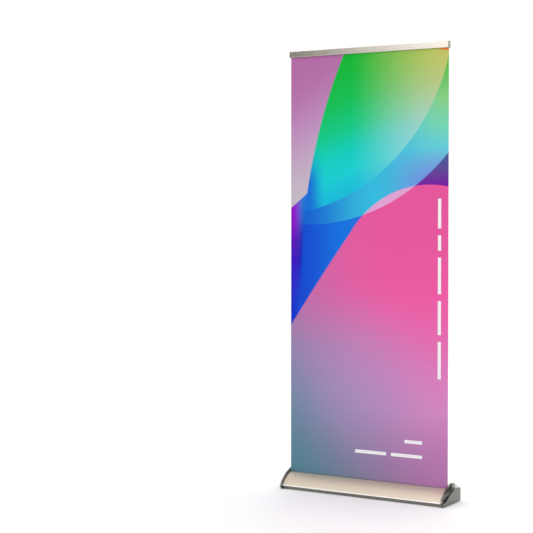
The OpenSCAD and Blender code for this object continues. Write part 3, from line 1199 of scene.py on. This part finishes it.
@dataclass
class EndCap(Assembly):
    """One chromed end cap: a rim that stands proud of the covers, and a smaller flat face.

    Attributes:
        side: The end that it closes.
        section: The base's end view.
        proud: How far the rim stands out from the front cover.
        depth: How deep the cap is from end to end.
        hub: Where the rays start that the rim and the face are met by, as (Y, Z).
        rays: How many points go round each loop.
    """

    side: Side
    section: BaseSection = field(default_factory=BaseSection)
    proud: float = 11.5
    depth: float = 16.5
    hub: Point2 = (-10.0, 36.0)
    rays: int = 240

    def rim(self) -> list[Point2]:
        """Draws the rim: it follows the front curve and stands proud all round.

        Returns:
            The closed outline as (Y, Z).
        """
        start = self.section.angle(self.section.edge) + 6
        end = self.section.angle(self.section.lip) + 0.3
        front = self.section.curve(self.proud, start, end, 16)
        corners = [(y, z, 0.0) for y, z in front]
        corners += [
            (-102.5, 21, 5), (-101.6, 8, 7), (-95, 1, 6), (100, 1, 7), (102.5, 8, 5),
            (102.5, 66.5, 10), (36, 97.6, 30), (12, 99.6, 14),
        ]
        return rounded(corners, steps=8)

    def face(self) -> list[Point2]:
        """Draws the flat face at the cap's outer end.

        Returns:
            The closed outline as (Y, Z).
        """
        return rounded(
            [
                (-96, 14, 4), (-91, 3.4, 5), (94, 3.4, 6), (98.6, 9, 4), (98.6, 60, 7),
                (91, 68, 6), (28, 71, 9),
            ],
            steps=8,
        )

    def loops(self) -> list[Loop]:
        """Steps from the inner edge of the rim, over its bevels and facets, to the face.

        Returns:
            The loops, each with one point for each ray.
        """
        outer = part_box("end_cap_right")[1][0] / MM
        inner = outer - self.depth
        rim = radial(self.rim(), self.hub, self.rays)
        face = radial(self.face(), self.hub, self.rays)
        steps: list[tuple[float, list[Point2]]] = []
        # The rim's two bevels, each as (along X, how far in), then the facet and the face's bevel.
        for x, depth in ((0, 2.0), (0.1, 1.25), (0.45, 0.55), (1.0, 0.15), (1.8, 0), (6.6, 0)):
            steps.append((inner + x, inset(rim, depth)))
        for x, depth in ((7.4, 0.12), (8.0, 0.45), (8.4, 0.95)):
            steps.append((inner + x, inset(rim, depth)))
        shoulder = inset(rim, 1.3)
        for share in (0.06, 0.3, 0.6, 0.9, 0.97):
            loop = [
                (a[0] + (b[0] - a[0]) * share, a[1] + (b[1] - a[1]) * share)
                for a, b in zip(shoulder, face)
            ]
            steps.append((inner + 8.6 + (outer - 0.35 - inner - 8.6) * share, loop))
        for x, depth in ((0.22, 0.3), (0.06, 1.0), (0, 1.9)):
            steps.append((outer - x, inset(face, depth)))
        return [[(x * self.side.value, y, z) for y, z in loop] for x, loop in steps]

    def build(self) -> None:
        """Builds the cap."""
        end = self.side.name.lower()
        piece = mesh_object(f"chrome_cap_{end}", lambda g: add_loft(g, self.loops()), sharp=30)
        self.fit(piece, Body.BASE, CHROME, f"end_cap_{end}")


@dataclass
class Pole(Assembly):
    """The telescopic pole, its socket and its collars.

    Attributes:
        wall: Wall of the tubes.
        ribs: Grip ribs round a collar.
    """

    wall: float = 1.2
    ribs: int = 20

    def tube(self, node: str, body: Body) -> None:
        """Builds one tube with its ends broken by a small chamfer.

        Args:
            node: The node that the tube stands for.
            body: The body that it moves with.
        """
        low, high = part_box(node)
        outer = (high[0] - low[0]) / 2 / MM
        z0, z1 = low[2] / MM, high[2] / MM
        inner, edge = outer - self.wall, 0.35
        profile = [
            (inner, z0), (outer - edge, z0), (outer, z0 + edge), (outer, z1 - edge),
            (outer - edge, z1), (inner + edge, z1), (inner, z1 - edge),
        ]
        piece = mesh_object(f"{node}_drawn", lambda g: add_lathe(g, profile, pole_axis(), 96))
        self.fit(piece, body, DRAWN_TUBE, node)

    def collar(self, node: str, body: Body, outer_tube: str, inner_tube: str) -> None:
        """Builds a twist-lock collar with grip ribs.

        Args:
            node: The node that the collar stands for.
            body: The body that it moves with.
            outer_tube: The tube that it sits on.
            inner_tube: The tube that it grips.
        """
        low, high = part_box(node)
        z0, z1 = low[2] / MM, high[2] / MM
        radius = (high[0] - low[0]) / 2 / MM
        seat = self.half_width(outer_tube) + 0.08
        throat = self.half_width(inner_tube) + 0.3
        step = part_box(outer_tube)[1][2] / MM + 0.15
        profile = [
            (seat, z0), (radius - 1.4, z0), (radius - 0.5, z0 + 0.6), (radius - 0.4, z0 + 3),
            (radius, z0 + 4.2), (radius, z0 + 30), (radius - 0.4, z0 + 31.4),
            (radius - 0.9, z1 - 8), (radius - 1.2, z1 - 4), (radius - 2.2, z1 - 1.2),
            (radius - 3.4, z1), (throat, z1), (throat, step), (seat, step),
        ]

        def ripple(turn: float, reach: float) -> float:
            """Sinks a groove between the ribs on the grip's band only."""
            if reach < radius - 0.01:
                return 0.0
            return -0.75 * (0.5 + 0.5 * math.cos(turn * self.ribs)) ** 2

        piece = mesh_object(
            f"{node}_grip",
            lambda g: add_lathe(g, profile, pole_axis(), self.ribs * 12, ripple),
            sharp=50,
        )
        self.fit(piece, body, BLACK, node)

    def half_width(self, node: str) -> float:
        """Half of a node's width along X in millimetres."""
        low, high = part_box(node)
        return (high[0] - low[0]) / 2 / MM

    def add_socket(self, grid: bmesh.types.BMesh) -> None:
        """Adds the socket's sleeve, its flange on the rear cover and its foot.

        Args:
            grid: The mesh that is added to.
        """
        low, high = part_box("pole_socket")
        z0, z1 = low[2] / MM, high[2] / MM
        bore = self.half_width("pole_lower_tube") + 0.1
        profile = [
            (bore, z0 + 3), (15.5, z0 + 3), (15.5, z1 - 2.55), (19, z1 - 2.55), (19, z1 - 1.5),
            (18.6, z1 - 0.9), (17.6, z1 - 0.5), (14.6, z1), (bore + 0.9, z1), (bore, z1 - 0.8),
        ]
        add_lathe(grid, profile, pole_axis(), 96)
        x, y = pole_axis()
        add_block(grid, (x - 30, y - 13, z0), (x + 30, y + 13, z0 + 3.05), 0.8)

    def add_hook(self, grid: bmesh.types.BMesh) -> None:
        """Adds the hook: a skirt over the upper tube, a neck and the blade that lifts the rail.

        Args:
            grid: The mesh that is added to.
        """
        low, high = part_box("pole_top_hook")
        skirt = self.half_width("pole_upper_tube")
        x, y = pole_axis()
        z0 = low[2] / MM
        crown = z0 + 34
        profile = [
            (skirt + 0.03, z0), (skirt + 2.0, z0), (skirt + 2.5, z0 + 0.8),
            (skirt + 2.5, crown - 1.6), (skirt + 1.8, crown - 0.5), (skirt + 0.8, crown),
            (0.001, crown), (0.001, z0 + 30), (skirt + 0.03, z0 + 30),
        ]
        add_lathe(grid, profile, (x, y), 72)
        blade = low[1] / MM
        add_block(grid, (x - 9, blade + 0.5, crown - 8), (x + 9, y, crown - 0.05), 0.8)
        add_block(grid, (x - 25, blade, crown - 8), (x + 25, blade + 3.9, high[2] / MM), 1.0)
        for side in (-1, 1):
            rib = x + side * 6.5
            add_block(grid, (rib - 1, blade + 3, crown - 16), (rib + 1, y - 8.6, crown - 7), 0.5)

    def build(self) -> None:
        """Builds the tubes, collars, socket and hook."""
        self.tube("pole_lower_tube", Body.BASE)
        self.tube("pole_middle_tube", Body.MIDDLE_POLE)
        self.tube("pole_upper_tube", Body.UPPER_POLE)
        self.collar("lock_collar_lower", Body.LOWER_COLLAR, "pole_lower_tube", "pole_middle_tube")
        self.collar("lock_collar_upper", Body.UPPER_COLLAR, "pole_middle_tube", "pole_upper_tube")
        socket = mesh_object("socket_moulding", self.add_socket, sharp=40)
        self.fit(socket, Body.BASE, BLACK, "pole_socket")
        hook = mesh_object("hook_moulding", self.add_hook, sharp=40)
        self.fit(hook, Body.UPPER_POLE, BLACK, "pole_top_hook")


@dataclass
class Rail(Assembly):
    """The clamp rail: a body, a front jaw on a bead hinge and two end caps.

    Attributes:
        bead: Radius of the jaw's bead.
        groove: Radius of the groove that it turns in.
        crown: How far the jaw's face stands proud at its middle.
    """

    bead: float = 2.2
    groove: float = 2.28
    crown: float = 0.2

    def hinge(self) -> Point2:
        """The hinge axis as (Y, Z) in millimetres."""
        low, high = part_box("rail_jaw")
        return low[1] / MM + 3.8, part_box("rail_body")[1][2] / MM - 4.2

    def jaw_outline(self) -> list[Point2]:
        """Draws the jaw: a slightly crowned face, a bead at its top and a nose at its foot.

        Returns:
            The closed outline as (Y, Z).
        """
        y, z = self.hinge()
        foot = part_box("rail_body")[0][2] / MM
        front, back, head = y - 3.8, y - 1.8, z + 0.7
        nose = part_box("rail_grip_strip")[0][1] / MM
        rise = head - foot - 2.4
        crown = [
            (front + self.crown * (2 * i / 10 - 1) ** 2, foot + 1.4 + rise * i / 10)
            for i in range(11)
        ]
        top = [(front + 1.15, head - 0.35), (front + 1.7, head)]
        bead = arc((y, z), self.bead, 161.4, -144.9, 30)
        inside = [(back, foot + 3.6), (back + 0.6, foot + 3), (nose, foot + 3), (nose, foot + 0.1)]
        under = [(front + 2.2, foot), (front + 1.3, foot + 0.35)]
        return [*crown, *top, *bead, *inside, *under]

    def body_outline(self) -> list[Point2]:
        """Draws the body: the wall behind the sheet, the hinge groove and the hook channel.

        Returns:
            The closed outline as (Y, Z).
        """
        y, z = self.hinge()
        low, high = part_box("rail_body")
        foot, top, rear = low[2] / MM, high[2] / MM, high[1] / MM
        wall_front = y + 4.7
        wall_rear = wall_front + 2.5
        web = top - 8
        groove = arc((y, z), self.groove, 225.4, 470, 36)
        start = [
            (wall_rear, foot, 0.5), (wall_front, foot, 0.5), (wall_front, web - 1, 0.6),
            (y - 1.6, web - 1, 0.7), (y - 1.6, z - 1.63, 0),
        ]
        finish = [
            (y - 1.0, z + 2.7, 0), (y - 1.0, top, 0.9), (wall_rear, top, 1.2),
            (wall_rear, web + 2.5, 0.8), (rear, web + 2.5, 1.0), (rear, web - 12, 0.6),
            (rear - 2.5, web - 12, 0.6), (rear - 2.5, web, 0.4), (wall_rear, web, 0.4),
        ]
        corners = [*start, *((a, b, 0.0) for a, b in groove), *finish]
        return rounded(corners, steps=4)

    def cap_loops(self, side: Side) -> list[Loop]:
        """Steps from the rail outwards over one of its end caps.

        Args:
            side: The end that the cap closes.

        Returns:
            The loops.
        """
        low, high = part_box(f"rail_cap_{side.name.lower()}")
        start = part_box("rail_body")[1][0] / MM
        end = max(abs(low[0]), abs(high[0])) / MM
        y0, y1, z0, z1 = (v / MM for v in (low[1], high[1], low[2], high[2]))
        outline = rounded(
            [(y0, z0, 2.2), (y1, z0, 1.6), (y1, z1 - 1.5, 4), (y1 - 3.4, z1, 4), (y0, z1, 3)],
            steps=8,
        )
        steps = [
            (start + 0.02, 0.4), (start + 0.25, 0.1), (start + 0.7, 0), (end - 1.5, 0),
            (end - 0.8, 0.18), (end - 0.3, 0.6), (end - 0.05, 1.3), (end, 2.0),
        ]
        return [
            [(x * side.value, y, z) for y, z in inset(outline, depth)] for x, depth in steps
        ]

    def build(self) -> None:
        """Builds the rail's body, jaw and end caps."""
        low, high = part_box("rail_body")
        body = mesh_object(
            "rail_extrusion",
            lambda g: add_run(g, self.body_outline(), low[0] / MM, high[0] / MM),
        )
        self.fit(body, Body.UPPER_POLE, CHAMPAGNE, "rail_body")
        low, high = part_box("rail_jaw")
        jaw = mesh_object(
            "rail_front", lambda g: add_run(g, self.jaw_outline(), low[0] / MM, high[0] / MM)
        )
        self.fit(jaw, Body.JAW, CHAMPAGNE, "rail_jaw")
        for side in Side:
            end = side.name.lower()
            loops = self.cap_loops(side)
            cap = mesh_object(f"rail_end_{end}", lambda g: add_loft(g, loops), sharp=50)
            self.fit(cap, Body.UPPER_POLE, GREY, f"rail_cap_{end}")


@dataclass
class Banner(Assembly):
    """The printed sheet, drawn up from the roller and held flat by the rail.

    Attributes:
        foot: Height of the sheet's foot, on the roller.
        top: Height of its top, in the rail.
        thickness: Thickness of the film as built.
        bow: How far the sheet stands off its plane between the slot and the rail.
        columns: Faces across the sheet.
        rows: Faces up the sheet.
        stroke: How far each of the pole's two upper tubes comes down. It is not used.
    """

    foot: float = 36.0
    top: float = 2156.0
    thickness: float = 0.4
    bow: float = 1.1
    columns: int = 34
    rows: int = 84
    stroke: float = 620

    def offset(self, x: float, z: float) -> float:
        """How far the sheet's middle plane stands off between the slot and the rail.

        Args:
            x: The place across.
            z: The place up.

        Returns:
            The distance along Y.
        """
        slot, rail = 110.0, 2100.0
        if not slot < z < rail:
            return 0.0
        rise = math.sin(math.pi * (z - slot) / (rail - slot)) ** 2
        curl = (x / 425) ** 4
        wave = math.sin(x / 150 + z / 520) * 0.35
        return self.bow * rise * (0.8 * curl - 0.35 + wave)

    def add_film(self, grid: bmesh.types.BMesh) -> None:
        """Adds the sheet's front and back, closed along the edges, and the map of its height.

        Args:
            grid: The mesh that is added to.
        """
        low, high = (Vector(corner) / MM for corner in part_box("banner"))
        rows: dict[int, list[list[Any]]] = {-1: [], 1: []}
        for face, sheet in rows.items():
            for r in range(self.rows + 1):
                z = low.z + (high.z - low.z) * r / self.rows
                line = []
                for c in range(self.columns + 1):
                    x = low.x + (high.x - low.x) * c / self.columns
                    y = (low.y + high.y) / 2 + self.offset(x, z) + face * self.thickness / 2
                    line.append(grid.verts.new(Vector((x, y, z)) * MM))
                sheet.append(line)
            for one, two in zip(sheet, sheet[1:]):
                for c in range(self.columns):
                    made = grid.faces.new((one[c], one[c + 1], two[c + 1], two[c]))
                    made.material_index = max(face, 0)
        self.close(grid, rows)
        drawn = grid.loops.layers.uv.new("drawn")
        for made in grid.faces:
            for corner in made.loops:
                x, _, z = corner.vert.co / MM
                corner[drawn].uv = ((x - low.x) / (high.x - low.x), (z - low.z) / (high.z - low.z))

    def build(self) -> None:
        """Builds the sheet, printed in front and plain behind."""
        sheet = mesh_object("banner_sheet", self.add_film, sharp=40)
        faces = sheet.data.polygons
        sides = [face.material_index for face in faces]
        self.fit(sheet, Body.BASE, PRINT, "banner")
        sheet.data.materials.append(FILM.material())
        faces.foreach_set("material_index", sides)
        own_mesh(sheet)

    def close(self, grid: bmesh.types.BMesh, rows: dict[int, list[list[Any]]]) -> None:
        """Closes the sheet's four edges between its front and its back.

        Args:
            grid: The mesh that is added to.
            rows: The rows of corners of the front, at -1, and of the back, at 1.
        """
        front, back = rows[-1], rows[1]
        sides = [
            ([line[0] for line in front], [line[0] for line in back]),
            ([line[-1] for line in back], [line[-1] for line in front]),
            (back[0], front[0]),
            (front[-1], back[-1]),
        ]
        for one, two in sides:
            for i in range(len(one) - 1):
                made = grid.faces.new((one[i], one[i + 1], two[i + 1], two[i]))
                made.material_index = 1


@dataclass
class InnerParts(Assembly):
    """The pieces inside the base and pole, which keep the frame's own shapes.

    Attributes:
        nodes: The frame's nodes by name.
        finishes: The finish of each node.
    """

    nodes: dict[str, Any]
    finishes: dict[str, Finish] = field(
        default_factory=lambda: {
            "base_tray": DARK_TRAY,
            "slot_trim_front": TRIM,
            "slot_trim_rear": TRIM,
            "end_plate_left": ZINC,
            "end_plate_right": ZINC,
            "end_plate_screws": ZINC,
            "socket_screws": ZINC,
            "idle_pin": ZINC,
            "spring_arbor": ZINC,
            "spring_collar": ZINC,
            "torsion_spring": SPRING,
            "roller_tube": ROLLER_TUBE,
            "banner_leader": FILM,
            "roller_plug_left": BLACK,
            "roller_plug_right": BLACK,
            "spring_anchor": BLACK,
            "roller_bush": ACETAL,
            "pole_foot_plug": BLACK,
            "guide_bush_middle": ACETAL,
            "guide_bush_upper": ACETAL,
            "rail_grip_strip": RUBBER,
        }
    )

    def build(self) -> None:
        """Dresses each node with its own finish."""
        for node, finish in self.finishes.items():
            for place in self.nodes[node].material_slots:
                place.material = finish.material()
            LOG.info("dressed %s", node)


# ---------------------------------------------------------------------------------------------
# Studio
# ---------------------------------------------------------------------------------------------


@dataclass
class Studio:
    """A white studio: floor, sky light, two soft boxes and the camera.

    Attributes:
        eye: The camera's place in metres.
        turn: The camera's turn to the left of straight ahead, in degrees.
        dip: How far it looks down, in degrees.
        lens: Its focal length on a 36 mm sensor.
        lift: Its vertical shift.
        sky_level: How bright the sky is to the eye and to matt surfaces.
        panel_level: How bright the panel is that lights the lip of the front cover.
        panel_way: The direction that the panel lies in.
        walls: What gloss sees on the left, on the right and overhead, each as an axis, the two
            ends of a step along it and the brightness at each end.
        reach: Half the width of the floor, in metres.
    """

    eye: Point3 = (3.0400, -5.9367, 1.3639)
    turn: float = 31.349
    dip: float = 1.316
    lens: float = 92.965
    lift: float = -0.04
    sky_level: float = 1.07
    panel_level: float = 7.0
    panel_way: Point3 = (-0.45, -0.75, 0.48)
    walls: tuple[tuple[str, float, float, float, float], ...] = (
        ("X", -0.505, -0.37, 0.12, 2.35),
        ("X", 0.42, 0.56, 1.0, 0.05),
        ("Z", 0.7, 0.9, 0.0, 1.0),
    )
    reach: float = 60.0

    def floor(self) -> None:
        """Lays a plain white floor."""
        mesh = bpy.data.meshes.new("studio_floor")
        far = self.reach
        mesh.from_pydata(
            [(-far, -far, 0), (far, -far, 0), (far, far, 0), (-far, far, 0)], [], [(0, 1, 2, 3)]
        )
        floor = bpy.data.objects.new("studio_floor", mesh)
        bpy.context.scene.collection.objects.link(floor)
        FLOOR_PAINT.dress(floor)

    def sky(self) -> None:
        """Lights the studio all round: white, with a dark wall to either side in its gloss."""
        world = bpy.data.worlds.new("studio_sky")
        bpy.context.scene.world = world
        world.use_nodes = True
        tree = world.node_tree
        tree.nodes.clear()
        way = add(tree, "SeparateXYZ", {0: add(tree, "TexCoord").outputs["Generated"]})
        # Gloss sees a dark wall on the left, a bright room, and a dark wall low on the right.
        left, right, high = (
            add(
                tree, "MapRange",
                {"Value": way.outputs[axis], "From Min": start, "From Max": end,
                 "To Min": first, "To Max": last},
                interpolation_type="SMOOTHSTEP",
            )
            for axis, start, end, first, last in self.walls
        )
        wall = add(tree, "Math", {0: right, 1: high}, operation="MAXIMUM")
        level = add(tree, "Math", {0: left, 1: wall}, operation="MULTIPLY")
        level = add(tree, "Math", {0: level, 1: self.panel(tree)}, operation="ADD")
        gloss = add(tree, "LightPath").outputs["Is Glossy Ray"]
        shown = add(tree, "Mix", {0: gloss, 2: self.sky_level, 3: level}, data_type="FLOAT")
        sky = add(tree, "Background", {"Color": "#ffffff", "Strength": shown})
        add(tree, "OutputWorld", {"Surface": sky})

    def panel(self, tree: Any) -> Any:
        """Adds a round bright panel far off, seen only in gloss.

        Args:
            tree: The sky's node tree.

        Returns:
            The node of its brightness.
        """
        aim = tuple(Vector(self.panel_way).normalized())
        look = add(tree, "TexCoord").outputs["Generated"]
        match = add(tree, "VectorMath", {0: look, 1: aim}, operation="DOT_PRODUCT")
        return add(
            tree, "MapRange",
            {"Value": match, "From Min": 0.978, "From Max": 0.99, "To Max": self.panel_level},
            interpolation_type="SMOOTHSTEP",
        )

    def box_light(self, name: str, place: Point3, aim: Point3, size: Point2, watts: float) -> None:
        """Hangs one soft box.

        Args:
            name: The light's name.
            place: Where it hangs, in metres.
            aim: The point that it faces.
            size: Its width and height in metres.
            watts: Its power.
        """
        lamp = bpy.data.lights.new(name, "AREA")
        lamp.shape = "RECTANGLE"
        lamp.size, lamp.size_y = size
        lamp.energy = watts
        light = bpy.data.objects.new(name, lamp)
        light.location = place
        light.rotation_mode = "QUATERNION"
        light.rotation_quaternion = (Vector(aim) - Vector(place)).to_track_quat("-Z", "Y")
        bpy.context.scene.collection.objects.link(light)

    def camera(self) -> None:
        """Sets up the camera."""
        lens = bpy.data.cameras.new("studio_camera")
        lens.sensor_width = 36
        lens.lens = self.lens
        lens.shift_y = self.lift
        lens.clip_end = 200
        camera = bpy.data.objects.new("studio_camera", lens)
        camera.location = self.eye
        camera.rotation_euler = (math.radians(90 - self.dip), 0, math.radians(self.turn))
        bpy.context.scene.collection.objects.link(camera)
        bpy.context.scene.camera = camera

    def build(self) -> None:
        """Sets up the whole studio."""
        scene = bpy.context.scene
        scene.view_settings.view_transform = "Standard"
        scene.view_settings.look = "None"
        self.floor()
        self.sky()
        self.box_light("key_box", (2.6, -4.2, 4.2), (0, 0, 1.1), (2.4, 2.4), 25)
        self.box_light("back_box", (-2.0, 4.5, 3.6), (0, 0, 1.0), (2.4, 2.4), 40)
        self.camera()


def parts(nodes: dict[str, Any]) -> tuple[Assembly, ...]:
    """Lists the sub-assemblies in the order that they are built.

    Args:
        nodes: The frame's nodes by name.

    Returns:
        The sub-assemblies.
    """
    return (
        InnerParts(nodes), BaseShell(), EndCap(Side.LEFT), EndCap(Side.RIGHT), Pole(), Rail(),
        Banner(),
    )


def corners(box: Any) -> list[list[float]]:
    """A box's two corners as plain lists."""
    return [[float(v) for v in corner] for corner in box]


def main() -> None:
    """Builds the stand in its studio."""
    logging.basicConfig(level=logging.INFO, format="%(message)s")
    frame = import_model()
    Studio().build()
    for part in parts(frame["nodes"]):
        part.build()


if __name__ == "__main__":
    main()
